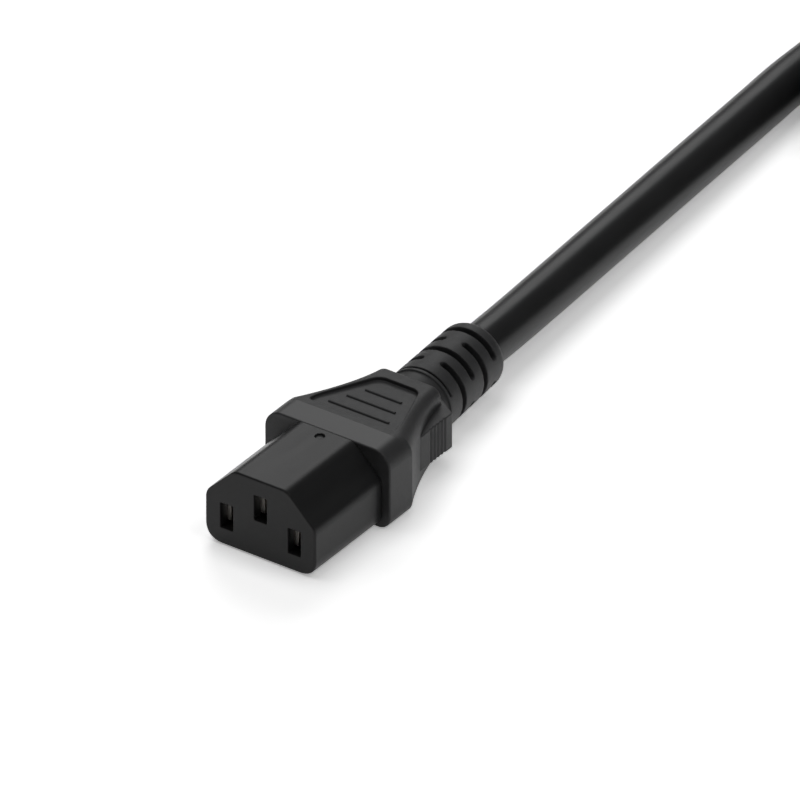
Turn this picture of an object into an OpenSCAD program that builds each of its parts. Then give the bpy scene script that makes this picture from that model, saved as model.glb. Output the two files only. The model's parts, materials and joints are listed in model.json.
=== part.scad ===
// Moulded power cord end: a C13 connector, its lead and the C14 plug on the far end.
// Millimetres. The nose faces -Y, the cord leaves along +Y, the earth slot is uppermost (+Z).
// The connector rests on z = 0, with the origin under the middle of its length and width.
// Shapes of the connector are drawn in its own frame, "local": y runs back from the nose face
// and z is counted from the axis of the nose. The plug is drawn in the same way from its rim.

/* [Nose] */
// Width of the nose that enters the inlet
nose_w = 22.8; // [22:0.1:23]
// Height of the nose
nose_h = 15.4; // [15:0.1:15.8]
// Length of the nose in front of the collar
nose_len = 19.6; // [17:0.1:21]
// Leg of the two slanted corners beside the earth slot
nose_slant = 5.9; // [5:0.1:6.2]
// Blend radius at each end of the slanted corners
slant_r = 2.6; // [1:0.1:3]
// Radius of the two square corners
nose_r = 3.5; // [1.5:0.1:3.8]
// Diameter of the witness dimple on top of the nose
dimple_d = 1.6; // [1:0.1:2]
// Distance from the collar back edge of the dimple centre
dimple_back = 2.15; // [1.2:0.05:3]

/* [Slots and contacts] */
// Distance between the line and neutral slots
slot_pitch = 14; // [13.6:0.1:14.4]
// Height of the earth slot above the other two
slot_rise = 4; // [3.8:0.1:4.2]
// Width of a slot
slot_w = 2.6; // [2.3:0.05:2.8]
// Height of a slot
slot_h = 4.9; // [4.4:0.05:5.1]
// Depth from the nose face to the lips of the contacts
slot_depth = 2.2; // [1.8:0.1:2.6]
// Thickness of the contact strip
strip_t = 0.45; // [0.4:0.01:0.5]
// Length of the spring leaves
leaf_len = 11; // [9:0.1:12]
// Gap between the lips when no pin is in
lip_gap = 0.7; // [0.5:0.05:1]

/* [Body] */
// Width of the collar
collar_w = 26; // [25.6:0.1:27]
// Height of the nose axis above the resting face
axis_h = 7.9; // [7.85:0.01:8.3]
// Top of the collar above the nose axis
collar_top = 7.5; // [7.4:0.05:8]
// Length of the straight collar
collar_len = 6.6; // [6:0.1:7.5]
// Radius of the upper long edges at the collar
edge_r = 3.5; // [2:0.1:3.6]
// Length from the end of the collar to the rear edge of the top
taper_len = 17.8; // [17:0.1:19]
// Top of the body at its rear edge above the nose axis
rear_top = 5.85; // [5.6:0.05:6.2]
// Radius of the upper long edges at the rear
rear_edge_r = 2; // [1.5:0.1:2.4]
// Radius of the lower long edges at the collar
low_edge_r = 2.6; // [1.5:0.1:3]
// Radius of the lower long edges at the rear
low_rear_r = 1.4; // [1:0.1:2]

/* [Finger recess] */
// Depth of the recess in the top
recess_depth = 0.75; // [0.4:0.05:0.9]
// Distance from the collar end to the front of the recess
recess_front = 0.4; // [0.2:0.1:1]
// Distance from the rear edge of the top to the recess
recess_back = 3; // [2.4:0.1:3.6]
// Width of the recess at its front
recess_w = 17.4; // [16:0.1:18]
// Width of the recess at its rear
recess_rear_w = 8.2; // [7:0.1:9.4]
// Height of the three finger ribs
rib_h = 0.3; // [0.15:0.05:0.4]
// Distance between the finger ribs
rib_pitch = 3.65; // [3.2:0.05:3.9]
// Distance from the side of the recess to the end of a rib
rib_margin = 1.85; // [1.5:0.05:2.2]

/* [Side grips] */
// Distance between the outer faces of the two side grips
grip_w = 19.4; // [19.2:0.1:20]
// Length of a side grip
grip_len = 9.5; // [8.6:0.1:9.6]
// Height of a side grip
grip_h = 6.9; // [6:0.1:7.4]
// Height of the middle of the side grips below the nose axis
grip_drop = 0.75; // [0.5:0.05:1]
// Distance between the grooves
groove_pitch = 1.03; // [1:0.01:1.1]
// Diameter of the groove cutter
groove_d = 0.72; // [0.5:0.02:0.8]
// Distance from the front of a grip to its first groove
groove_front = 3.1; // [2:0.1:3.4]

/* [Strain relief] */
// Diameter of the relief at the body
relief_d = 13; // [12.6:0.1:13.2]
// Diameter of the relief near the cord
relief_tip_d = 12.5; // [12:0.1:12.6]
// Length of the relief behind its pivot
relief_len = 19.6; // [19.4:0.1:21]
// Radius of the rounded end
relief_end_r = 1.8; // [1:0.1:1.9]
// Sideways lean of the relief and the cord
relief_lean = 4.4; // [0:0.1:6]
// Distance that the relief axis lies below the nose axis
relief_drop = 0.9; // [0.6:0.05:1]
// Distance between the slot rings
ring_pitch = 3.65; // [3.5:0.05:3.75]
// Width of a slot in the relief
ring_slot_w = 1.3; // [1:0.05:1.5]
// Angle of the bridges at the sides, in the first, third and fifth ring
side_bridge = 52; // [40:1:60]
// Angle of the bridges at the top and bottom, in the second and fourth ring
top_bridge = 42; // [32:1:52]

/* [Cord] */
// Diameter of the sheath
cord_d = 8.66; // [8.5:0.02:8.8]
// Diameter of an insulated core
core_d = 2.9; // [2.7:0.05:3]
// Diameter of a copper conductor
wire_d = 1.6; // [1.4:0.05:1.7]
// Radius of the round ends of the coil at the middle of its turns
coil_r = 30.8; // [30:0.2:32]
// Length of the straight sides of the coil
coil_straight = 56; // [52:1:60]
// Number of turns that lie side by side
coil_cols = 3; // [3:1:3]
// Width of the tie round the coil
tie_w = 5; // [4:0.5:8]
// Thickness of the tie
tie_t = 0.9; // [0.6:0.1:1.2]

/* [Plug] */
// Clearance between a nose and the shroud of the plug
shroud_gap = 0.6; // [0.4:0.05:0.8]
// Wall of the shroud
shroud_wall = 1.7; // [1.5:0.05:1.9]
// Depth of the shroud
shroud_depth = 17; // [16.5:0.1:18]
// Thickness of the shroud base
shroud_base = 2.6; // [2:0.1:3]
// Width of a pin
pin_h = 4; // [3.9:0.05:4.1]
// Thickness of a pin
pin_t = 2; // [1.9:0.02:2.1]
// Distance from the shroud rim to the line and neutral pins
pin_recess = 2.2; // [1.6:0.1:3]
// Extra length of the earth pin
earth_lead = 1.2; // [0.8:0.1:1.6]
// Amount that the grip body stands out from the shroud
plug_lip = 0.4; // [0.2:0.05:0.6]

/* [Hidden] */
$fn = 48;
over = 0.5;            // how far a cutter runs past a face
arc_steps = 6;         // facets in each rounded corner of an outline

// ---- sizes that follow from the ones above, connector ----
insert_inset = 1.35;                       // nose side to the part of the insert inside the body
insert_drop = 2.1;                         // nose top to the part of the insert inside the body
insert_embed = 8.6;                        // length of the insert inside the body
retainer_t = 1.5;
cavity_w = 4;
cavity_h = 5;
cavity_gap = 0.05;                         // between the contact and its cavity
insert_rear = nose_len + insert_embed;
retainer_rear = insert_rear + retainer_t;
sheath_cut = retainer_rear + 10.5;         // where the sheath is cut back
mould_rear = sheath_cut + 0.5;
collar_end = nose_len + collar_len;
rear_y = collar_end + taper_len;           // rear edge of the top
pivot_y = rear_y + 2;                      // the relief leans about this point
flank_power = 1.55;                        // how quickly the flanks close in behind the collar
grip_setback = 10.75;                      // rear edge of the top to the front of the side grips
top_slope = (collar_top - rear_top) / taper_len;
tip_y = pivot_y + (relief_len - relief_end_r) * cos(relief_lean)
    + (relief_tip_d / 2 - relief_end_r) * sin(relief_lean) + relief_end_r;
mouth_len = relief_len;                    // pivot to the end of the sheath stub, along the relief

// ---- small fixed sizes of a grip body and its relief ----
collar_bevel = 1.3;                        // the top starts to slope this far ahead of the collar's end
recess_nose = 2.2;                         // length of the parallel front part of the recess
recess_shallow = 0.8;                      // share of the recess depth at its front
rib_first = 2.3;                           // front of the recess to its first rib
grip_root = 3;                             // half width at which a side grip starts, inside the body
grip_tail = 2.4;                           // length of the slanted rear of a side grip
groove_set = 0.2;                          // share of a groove's width by which it lies outside the face
neck_len = 3;
neck_inset = 0.3;                          // the neck is smaller than the relief by this on every side
relief_start = 0.6;                        // pivot to the front of the full relief
first_ring = 1.55;                         // pivot to the first ring, which is only a slit
slit_w = 0.4;
sleeve_wall = 0.5;                         // left round the sheath at the floor of a ring slot
slot_tuck = 0.15;                          // round ends stay inside the slot, so no faces are tangent

// ---- small fixed sizes of a crimp ----
wire_crimp = 4;                            // length of the part that holds the copper
crimp_gap = 1.5;
core_crimp = 3;                            // length of the part that holds the insulation
crimp_strip = 1.4;
crimp_lead = 4;                            // strip in front of the crimp

// ---- sizes that follow, plug ----
shroud_len = shroud_depth + shroud_base;
plug_half_w = nose_w / 2 + shroud_gap + shroud_wall;
plug_half_h = nose_h / 2 + shroud_gap + shroud_wall;
plug_body_y = shroud_depth + 1;            // front of the grip body, behind the rim
plug_collar_end = plug_body_y + collar_len;
plug_rear_y = plug_collar_end + taper_len;
plug_pivot_y = plug_rear_y + 2;
plug_axis_h = plug_half_h + plug_lip;
plug_boss_rear = plug_body_y + insert_embed + 1;
plug_cut = plug_boss_rear + 10.5;

// ---- cord route ----
cord_r = cord_d / 2;
lay_pitch = cord_d * 1.02;                 // between the turns that lie side by side
coil_out = coil_r + (coil_cols - 1) / 2 * lay_pitch;
coil_x = coil_out - 9.75;                  // the cord runs straight into the left side of the coil
coil_y = 166;                              // middle of the coil's near end
stub_len = 27;                             // straight length of cord beside the coil's near end
mouth_way = [-sin(relief_lean), cos(relief_lean), 0];
mouth = [0, pivot_y - tip_y / 2, axis_h - relief_drop] + mouth_len * mouth_way;
square_end = 1;                            // straight length at each end of a tube, so faces meet square
coil_in = [coil_x - coil_out, coil_y - stub_len, cord_r];
plug_x = coil_x + coil_r - 3;              // the plug lies on the right side of the coil
plug_z = 2 * cord_d + plug_axis_h;
plug_mouth = [plug_x, coil_y + coil_straight - 24, plug_z - relief_drop];
plug_y = plug_mouth.y - plug_pivot_y - mouth_len;
coil_leave = plug_mouth + [0, 16, 0];
run_route = [[-1.93, 38, 6.7], [-2.4, 44, 6.4], [-3.15, 54, 6.16], [-3.92, 64, 5.95], [-4.7, 74, 5.74],
    [-5.45, 84, 5.54], [-6.22, 94, 5.33], [-7, 104, 5.12], [-7.75, 114, 4.91], [-8.5, 124, 4.71],
    [-9.1, 131, 4.5]];

// ---- helpers ----
function unit(v) = v / norm(v);
function mix(a, b, u) = a + (b - a) * u;
function clamp(v) = max(0, min(1, v));
function smooth(u) = u * u * (3 - 2 * u);

// The last turn, which rises off the coil round its far end and comes back to the plug.
rise_steps = 12;
rise_sunk = 1.2;                           // the rising turn starts this far inside the coil
rise_path = [
    for (k = [0 : rise_steps])
        let (
            u = k / rise_steps,
            a = 165 * (1 - u),
            r = mix(coil_out - rise_sunk, plug_x - coil_x, smooth(clamp(2 * u - 1))),
            z = mix(cord_r + cord_d - rise_sunk, coil_leave.z, smooth(u))
        )
        [coil_x + r * cos(a), coil_y + coil_straight + r * sin(a), z],
    coil_leave + [0, 3, 0], coil_leave
];

// The outline through the corner points p, each rounded to its radius in r.
function rounded(p, r) = let (n = len(p)) [
    for (i = [0 : n - 1])
        let (
            a = unit(p[(i + n - 1) % n] - p[i]),
            b = unit(p[(i + 1) % n] - p[i]),
            half = acos(a * b) / 2,
            c = p[i] + unit(a + b) * r[i] / sin(half),
            s = p[i] + a * r[i] / tan(half) - c,
            e = p[i] + b * r[i] / tan(half) - c,
            a0 = atan2(s.y, s.x),
            turn = atan2(s.x * e.y - s.y * e.x, s * e)
        )
        for (k = [0 : arc_steps])
            c + r[i] * [cos(a0 + turn * k / arc_steps), sin(a0 + turn * k / arc_steps)]
];

// The face outline of a nose or of a shroud that is larger by grow on every side.
function nose_outline(grow = 0) = let (
    w = nose_w / 2 + grow,
    h = nose_h / 2 + grow,
    s = nose_slant + grow * 0.59
) rounded(
    [[-w, -h], [w, -h], [w, h - s], [w - s, h], [s - w, h], [-w, h - s]],
    [nose_r + grow, nose_r + grow, slant_r + grow, slant_r + grow, slant_r + grow, slant_r + grow]
);

// A rounded rectangle as a ring of 3D points at distance y.
function body_ring(y, w, top, bottom, r, low_r) = [
    for (p = rounded([[-w, bottom], [-w, top], [w, top], [w, bottom]], [low_r, r, r, low_r]))
        [p.x, y, p.y]
];

// Skins a list of rings, all with the same number of points, into one closed solid.
module skin(rings) {
    n = len(rings[0]);
    m = len(rings);
    polyhedron(
        points = [for (ring = rings) each ring],
        faces = [
            [for (i = [0 : n - 1]) i],
            [for (i = [n - 1 : -1 : 0]) (m - 1) * n + i],
            for (k = [0 : m - 2], i = [0 : n - 1])
                [k * n + i, (k + 1) * n + i, k * n + (i + 1) % n],
            for (k = [0 : m - 2], i = [0 : n - 1])
                [k * n + (i + 1) % n, (k + 1) * n + i, (k + 1) * n + (i + 1) % n]
        ],
        convexity = 8
    );
}

// The rings of a round tube of radius r along a path that never runs straight up or down.
function tube_rings(path, r, sides) = let (last = len(path) - 1) [
    for (i = [0 : last])
        let (
            t = unit(path[min(i + 1, last)] - path[max(i - 1, 0)]),
            side = unit(cross(t, [0, 0, 1])),
            up = cross(side, t)
        )
        [for (k = [0 : sides - 1]) path[i] + r * (side * cos(360 * k / sides) - up * sin(360 * k / sides))]
];

// The same path with its two ends moved out by e.
function stretched(path, e) = let (last = len(path) - 1) [
    for (i = [0 : last])
        i == 0 ? path[0] + unit(path[0] - path[1]) * e :
        i == last ? path[last] + unit(path[last] - path[last - 1]) * e :
        path[i]
];

module tube(path, r, sides = 10) skin(tube_rings(path, r, sides));

module connector_frame() translate([0, -tip_y / 2, axis_h]) children();
module plug_frame() translate([plug_x, plug_y, plug_z]) children();

// Turns an outline drawn in x and z into a bar from y0 to y1.
module bar(y0, y1) translate([0, y1, 0]) rotate([90, 0, 0]) linear_extrude(y1 - y0) children();

// Puts children at each of the three poles, in the order line, neutral, earth.
pole = [[slot_pitch / 2, -slot_rise / 2], [-slot_pitch / 2, -slot_rise / 2], [0, slot_rise / 2]];
module at_pole(i) translate([pole[i].x, 0, pole[i].y]) children();

// ---- moulded grip body with its slotted relief, shared by connector and plug ----
// y0 is the front, w, top and bottom its half width, height above and depth below the axis.
function flank(y, y0, w) = let (
    start = y0 + collar_len,
    end = start + taper_len + 1
) mix(w, relief_d / 2, 1 - pow(clamp((end - y) / (end - start)), flank_power));

function crown(y, y0, top) = mix(top, rear_top,
    clamp((y - y0 - collar_len + collar_bevel) / (taper_len + collar_bevel)));

module grip_body(y0, w, top, bottom) {
    start = y0 + collar_len;
    end = start + taper_len;
    steps = 14;
    rise = bottom - relief_drop - relief_d / 2;
    drop = -relief_drop;
    skin([
        body_ring(y0, w, top, -bottom, edge_r, low_edge_r),
        body_ring(start - collar_bevel, w, top, -bottom, edge_r, low_edge_r),
        for (i = [0 : steps])
            let (
                u = i / steps,
                y = mix(start, end, u),
                low = -bottom + rise * pow(u, 3)
            )
            body_ring(y, flank(y, y0, w), crown(y, y0, top), low, mix(edge_r, rear_edge_r, u),
                mix(low_edge_r, low_rear_r, u)),
        for (u = [0.02, 0.4, 0.75, 1])
            let (r = relief_d / 2 - neck_inset)
            body_ring(mix(end, end + neck_len, u), r + 0.03, drop + r, drop - r - 0.03, mix(4.4, r - 0.01, u),
                mix(low_rear_r, r - 0.01, u))
    ]);
}

// The recess in the top, as a cutter whose floor follows the slope of the top.
module recess_cut(y0, top) {
    front = y0 + collar_len + recess_front;
    back = y0 + collar_len + taper_len - recess_back;
    wf = recess_w / 2;
    wb = recess_rear_w / 2;
    floor_z = crown(front, y0, top) - recess_depth * recess_shallow;
    outline = rounded([[-wf, 0], [wf, 0], [wf, recess_nose], [wb, back - front],
        [-wb, back - front], [-wf, recess_nose]],
        [1, 1, 2, 2.6, 2.6, 2]);
    translate([0, front, floor_z])
        rotate([-atan(top_slope + recess_depth * (1 - recess_shallow) / (back - front)), 0, 0])
            linear_extrude(4) polygon(outline);
}

// Three half-round ribs across the floor of the recess.
module finger_ribs(y0, top) {
    front = y0 + collar_len + recess_front;
    back = y0 + collar_len + taper_len - recess_back;
    for (i = [0 : 2]) {
        y = front + rib_first + i * rib_pitch;
        half = mix(recess_w, recess_rear_w, (y - front) / (back - front)) / 2 - rib_margin;
        depth = recess_depth * mix(recess_shallow, 1, (y - front) / (back - front));
        translate([0, y, crown(y, y0, top) - depth])
            rotate([0, 90, 0]) cylinder(h = 2 * half, r = rib_h, center = true, $fn = 24);
    }
}

// One ribbed block on the +X flank, with a flat ledge on top.
module side_grip(y0) {
    front = y0 + collar_len + taper_len - grip_setback;
    back = front + grip_len;
    face = grip_w / 2;
    translate([0, 0, -grip_drop - grip_h / 2]) difference() {
        linear_extrude(grip_h)
            polygon([[grip_root, front - 3], [face, front], [face, back],
                [relief_d / 2 - 0.4, back + grip_tail], [grip_root, back + grip_tail]]);
        for (i = [0 : 4])
            translate([face + groove_d * groove_set, front + groove_front + i * groove_pitch, -over])
                cylinder(h = grip_h + 2 * over, d = groove_d, $fn = 24);
    }
}

// The slotted sleeve. It points along +Y from its pivot at the origin.
module relief() {
    r0 = relief_d / 2;
    r1 = relief_tip_d / 2;
    root = cord_r + sleeve_wall;
    difference() {
        rotate([-90, 0, 0]) union() {
            translate([0, 0, relief_start])
                cylinder(h = relief_len - relief_end_r - relief_start, r1 = r0, r2 = r1);
            cylinder(h = relief_len, r = r1 - relief_end_r);
            translate([0, 0, relief_len - relief_end_r]) rotate_extrude()
                translate([r1 - relief_end_r, 0]) intersection() {
                    circle(relief_end_r);
                    square(relief_end_r);
                }
        }
        for (ring = [0 : 4], half = [0, 180]) {
            wide = ring == 0 ? slit_w : ring_slot_w;
            quarter = ring % 2 == 0 ? 0 : 90;
            bridge = ring % 2 == 0 ? side_bridge : top_bridge;
            translate([0, first_ring + ring * ring_pitch, 0]) rotate([0, half + quarter, 0])
                ring_slot(wide, root, r0 + 1, bridge);
        }
    }
}

// One slot over the +Z side of the sleeve, with round ends.
module ring_slot(wide, inner, outer, bridge) {
    span = 180 - bridge;
    rotate([90, -bridge / 2, 0]) {
        rotate_extrude(angle = span)
            translate([inner, -wide / 2]) square([outer - inner, wide]);
        for (a = [0, span])
            rotate([0, 90, a]) translate([0, 0, inner + slot_tuck])
                cylinder(h = outer - inner, d = wide - 0.04, $fn = 20);
    }
}

// ---- cores and wires ----
// Places of the three cores inside the sheath, line, neutral, earth.
core_lay = (core_d + 0.12) / sqrt(3);      // a thin web is left between the cores
lay_angle = [-30, 210, 90];

// A point on the axis of the leaning sheath, with a core's offset.
function sheath_point(i, s, lean, y_pivot) = let (
    off = [core_lay * cos(lay_angle[i]), core_lay * sin(lay_angle[i])]
) [
    off.x * cos(lean) - s * sin(lean),
    y_pivot + s * cos(lean) + off.x * sin(lean),
    off.y - relief_drop
];

// The way of core i from y_start to the mouth of the relief.
function core_path(i, y_start, y_fan, y_cut, y_pivot, lean) = let (
    a = [pole[i].x, y_fan, pole[i].y],
    s_cut = (y_cut - y_pivot) / cos(lean),
    b = sheath_point(i, s_cut, lean, y_pivot),
    steps = 8
) concat(
    [[pole[i].x, y_start, pole[i].y]],
    [for (k = [0 : steps])
        let (u = k / steps)
        [mix(a.x, b.x, smooth(u)), mix(a.y, b.y, u), mix(a.z, b.z, smooth(u))]],
    [sheath_point(i, s_cut + 1.5, lean, y_pivot), sheath_point(i, mouth_len, lean, y_pivot)]
);

module core(path) difference() {
    tube(path, core_d / 2);
    tube(stretched(path, over), wire_d / 2, 8);
}

// The end of the sheath from its cut to the mouth of the relief, bored for the three cores.
module sheath_end(y_cut, y_pivot, lean) {
    s_cut = (y_cut - y_pivot) / cos(lean);
    translate([0, y_pivot, -relief_drop]) rotate([0, 0, lean]) rotate([-90, 0, 0]) difference() {
        translate([0, 0, s_cut]) cylinder(h = mouth_len - s_cut, d = cord_d);
        for (i = [0 : 2])
            translate([core_lay * cos(lay_angle[i]), -core_lay * sin(lay_angle[i]), s_cut - over])
                cylinder(h = mouth_len - s_cut + 2 * over, d = core_d);
    }
}

// Block moulded round the fanned cores behind an insert.
module fan_block(y_a, y_b, half_a, high_a) {
    half_b = cord_r + 0.7;
    intersection() {
        translate([0, 0, -20]) linear_extrude(40)
            polygon([[-half_a, y_a], [half_a, y_a], [half_b, y_b], [-half_b, y_b]]);
        rotate([90, 0, 90]) translate([0, 0, -20]) linear_extrude(40)
            polygon([[y_a, -high_a], [y_b, -relief_drop - half_b], [y_b, -relief_drop + half_b],
                [y_a, high_a]]);
    }
}

// The crimp behind a contact or a pin, from y on, over the strip under it.
module crimp(y) {
    wire_r = wire_d / 2;
    core_r = core_d / 2;
    strip_z = -core_r - strip_t;
    rotate([-90, 0, 0]) translate([0, 0, y]) {
        difference() {
            cylinder(h = wire_crimp, r = wire_r + strip_t);
            translate([0, 0, -over]) cylinder(h = wire_crimp + 2 * over, r = wire_r);
        }
        translate([0, 0, wire_crimp + crimp_gap]) difference() {
            cylinder(h = core_crimp, r = core_r + strip_t);
            translate([0, 0, -over]) cylinder(h = core_crimp + 2 * over, r = core_r);
        }
    }
    translate([-crimp_strip / 2, y - crimp_lead, strip_z])
        cube([crimp_strip, crimp_lead + wire_crimp + crimp_gap + core_crimp, strip_t]);
    translate([0.1 - crimp_strip / 2, y, strip_z])
        cube([crimp_strip - 0.2, wire_crimp, core_r - wire_r + 0.1]);
}

// ---- connector ----
insert_half = nose_w / 2 - insert_inset;
insert_high = nose_h / 2 - insert_drop;
wire_start = slot_depth + leaf_len + 3.4;
core_start = wire_start + wire_crimp + crimp_gap;

retainer_trim = 0.25;

// The part of an insert that lies inside its grip body, smaller by trim on every side.
module insert_tail(y0, y1, trim = 0) bar(y0, y1) intersection() {
    square([2 * (insert_half - trim), 2 * (insert_high - trim)], center = true);
    polygon(nose_outline(-insert_inset - trim));
}

module nose_insert() color("#26272a") connector_frame() difference() {
    union() {
        bar(0, nose_len) polygon(nose_outline());
        insert_tail(nose_len - over, insert_rear);
    }
    for (i = [0 : 2]) at_pole(i) {
        translate([-slot_w / 2, -over, -slot_h / 2]) cube([slot_w, slot_depth + 2 * over, slot_h]);
        translate([-cavity_w / 2, slot_depth, -cavity_h / 2]) cube([cavity_w, insert_rear, cavity_h]);
    }
    translate([0, nose_len - dimple_back, nose_h / 2 - 0.4]) cylinder(h = 1, d = dimple_d);
}

module contact_retainer() color("#3a3b3e") connector_frame() difference() {
    insert_tail(insert_rear, retainer_rear, retainer_trim);
    for (i = [0 : 2]) at_pole(i) translate([0, insert_rear - over, 0])
        rotate([-90, 0, 0]) cylinder(h = retainer_t + 2 * over, d = core_d + 0.1);
}

// The folded contact: two sprung leaves with doubled lips, a back wall and the crimp.
module contact(i) color("#c9a24a") connector_frame() at_pole(i) {
    reach = cavity_w / 2 - cavity_gap;
    lip = lip_gap / 2;
    y0 = slot_depth;
    y1 = y0 + leaf_len;
    for (side = [0, 1]) mirror([side, 0, 0]) translate([0, 0, -2.1]) linear_extrude(4.2)
        polygon([
            [lip + 0.25, y0], [lip, y0 + 1], [lip, y0 + 2.4], [lip + 0.4, y0 + 3.2],
            [reach - strip_t - 0.2, y0 + 7], [reach - strip_t, y0 + 9], [reach - strip_t, y1], [reach, y1],
            [reach, y0 + 8.6], [reach - 0.2, y0 + 6.4], [lip + 1.2, y0 + 3.2], [lip + 1.2, y0]
        ]);
    translate([-reach, y1 - strip_t, -2.1]) cube([2 * reach, strip_t, 4.2]);
    crimp(wire_start);
}

module inner_mould() color("#8c8f94") connector_frame() difference() {
    fan_block(retainer_rear, mould_rear, insert_half - 1, insert_high - 0.6);
    for (i = [0 : 2]) tube(stretched(connector_core(i), over), core_d / 2);
    sheath_space(sheath_cut, pivot_y, relief_lean);
}

// The solid cylinder that a sheath end fills, as a cutter.
module sheath_space(y_cut, y_pivot, lean) {
    s_cut = (y_cut - y_pivot) / cos(lean);
    translate([0, y_pivot, -relief_drop]) rotate([0, 0, lean]) rotate([-90, 0, 0])
        translate([0, 0, s_cut]) cylinder(h = mouth_len - s_cut + over, d = cord_d);
}

function connector_core(i) = core_path(i, core_start, retainer_rear, sheath_cut, pivot_y, relief_lean);

module connector_overmould() color("#2c2d30") connector_frame() difference() {
    union() {
        difference() {
            union() {
                grip_body(nose_len, collar_w / 2, collar_top, axis_h);
                for (side = [0, 1]) mirror([side, 0, 0]) side_grip(nose_len);
            }
            recess_cut(nose_len, collar_top);
        }
        finger_ribs(nose_len, collar_top);
        translate([0, pivot_y, -relief_drop]) rotate([0, 0, relief_lean]) relief();
    }
    insert_tail(nose_len - over, insert_rear);
    insert_tail(insert_rear - over, retainer_rear, retainer_trim);
    fan_block(retainer_rear, mould_rear, insert_half - 1, insert_high - 0.6);
    sheath_space(sheath_cut, pivot_y, relief_lean);
}

module line_contact() contact(0);
module neutral_contact() contact(1);
module earth_contact() contact(2);

module connector_wire(i) color("#c47a45") connector_frame()
    tube(concat([[pole[i].x, wire_start, pole[i].y]], connector_core(i)), wire_d / 2, 8);
module line_wire() connector_wire(0);
module neutral_wire() connector_wire(1);
module earth_wire() connector_wire(2);

module line_core() color("#6b3f25") connector_frame() core(connector_core(0));
module neutral_core() color("#3b6fb5") connector_frame() core(connector_core(1));
module earth_core() color("#5b9a3c") connector_frame() core(connector_core(2));

module connector_sheath_end() color("#202124") connector_frame()
    sheath_end(sheath_cut, pivot_y, relief_lean);

// ---- cord ----
module cable_run() color("#202124")
    tube(concat([mouth, mouth + square_end * mouth_way], run_route,
        [coil_in - [0, square_end, 0], coil_in]), cord_r);

// Outline of a closed turn with straight sides and round ends of radius r.
lane_steps = 24;
function lane(r) = [
    for (k = [0 : lane_steps]) -r * [cos(180 * k / lane_steps), sin(180 * k / lane_steps)],
    for (k = [0 : lane_steps])
        [0, coil_straight] + r * [cos(180 * k / lane_steps), sin(180 * k / lane_steps)]
];

// The coil up to where its last turn has risen off it, towards the plug that lies on it.
module cable_coil() color("#202124") difference() {
    union() {
        translate([coil_x, coil_y, 0]) linear_extrude(2 * cord_d) difference() {
            polygon(lane(coil_out + cord_r));
            polygon(lane(coil_out - (coil_cols - 1) * lay_pitch - cord_r));
        }
        translate(coil_in) rotate([-90, 0, 0]) cylinder(h = stub_len - 4, d = cord_d);
        tube(rise_path, cord_r);
    }
    tie_place() tie_band();
}

module cable_tail() color("#202124") tube([coil_leave, plug_mouth], cord_r);

// The tie goes round the left side of the coil.
module tie_place() translate([coil_x - coil_r, coil_y + coil_straight / 2, 0]) children();
module tie_band() {
    wide = (coil_cols - 1) * lay_pitch + cord_d;
    rotate([90, 0, 0]) linear_extrude(tie_w, center = true) difference() {
        translate([-wide / 2 - tie_t, 0]) square([wide + 2 * tie_t, 2 * cord_d + tie_t]);
        translate([-wide / 2 + tie_t, tie_t]) square([wide - 2 * tie_t, 2 * cord_d - tie_t]);
    }
}
module coil_tie() color("#3a3b3e") tie_place() tie_band();

// ---- plug ----
module plug_shroud() color("#26272a") plug_frame() difference() {
    union() {
        bar(0, shroud_len) polygon(nose_outline(shroud_gap + shroud_wall));
        insert_tail(shroud_len - over, plug_boss_rear);
    }
    bar(-over, shroud_depth) polygon(nose_outline(shroud_gap));
    for (i = [0 : 2]) at_pole(i) {
        translate([-pin_t / 2, 0, -pin_h / 2]) cube([pin_t, shroud_len + over, pin_h]);
        translate([-cavity_w / 2, shroud_len, -cavity_h / 2]) cube([cavity_w, 20, cavity_h]);
    }
}

plug_wire_start = shroud_len + 0.5;
plug_core_start = plug_wire_start + wire_crimp + crimp_gap;
function plug_core(i) = core_path(i, plug_core_start, plug_boss_rear, plug_cut, plug_pivot_y, 0);

// A flat pin with a pointed tip, shouldered behind the base of the shroud, and its crimp.
module plug_pin(i) color("#cfd1d4") plug_frame() at_pole(i) {
    tip = i == 2 ? pin_recess - earth_lead : pin_recess;
    taper = 1.2;
    translate([0, 0, -pin_h / 2]) linear_extrude(pin_h)
        polygon([[-pin_t / 2 + 0.5, tip], [pin_t / 2 - 0.5, tip], [pin_t / 2, tip + taper],
            [pin_t / 2, shroud_len], [-pin_t / 2, shroud_len], [-pin_t / 2, tip + taper]]);
    translate([-pin_t / 2 - 0.4, shroud_len, -pin_h / 2]) cube([pin_t + 0.8, 0.5, pin_h]);
    crimp(plug_wire_start);
}
module plug_line_pin() plug_pin(0);
module plug_neutral_pin() plug_pin(1);
module plug_earth_pin() plug_pin(2);

module plug_inner_mould() color("#8c8f94") plug_frame() difference() {
    fan_block(plug_boss_rear, plug_cut + 0.5, insert_half - 1, insert_high - 0.6);
    for (i = [0 : 2]) tube(stretched(plug_core(i), over), core_d / 2);
    sheath_space(plug_cut, plug_pivot_y, 0);
}

module plug_overmould() color("#2c2d30") plug_frame() difference() {
    union() {
        difference() {
            union() {
                grip_body(plug_body_y, plug_half_w + plug_lip, plug_half_h + plug_lip,
                    plug_half_h + plug_lip);
                for (side = [0, 1]) mirror([side, 0, 0]) side_grip(plug_body_y);
            }
            recess_cut(plug_body_y, plug_half_h + plug_lip);
        }
        finger_ribs(plug_body_y, plug_half_h + plug_lip);
        translate([0, plug_pivot_y, -relief_drop]) relief();
    }
    bar(0, shroud_len) polygon(nose_outline(shroud_gap + shroud_wall));
    insert_tail(shroud_len - over, plug_boss_rear);
    fan_block(plug_boss_rear, plug_cut + 0.5, insert_half - 1, insert_high - 0.6);
    sheath_space(plug_cut, plug_pivot_y, 0);
}

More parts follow.
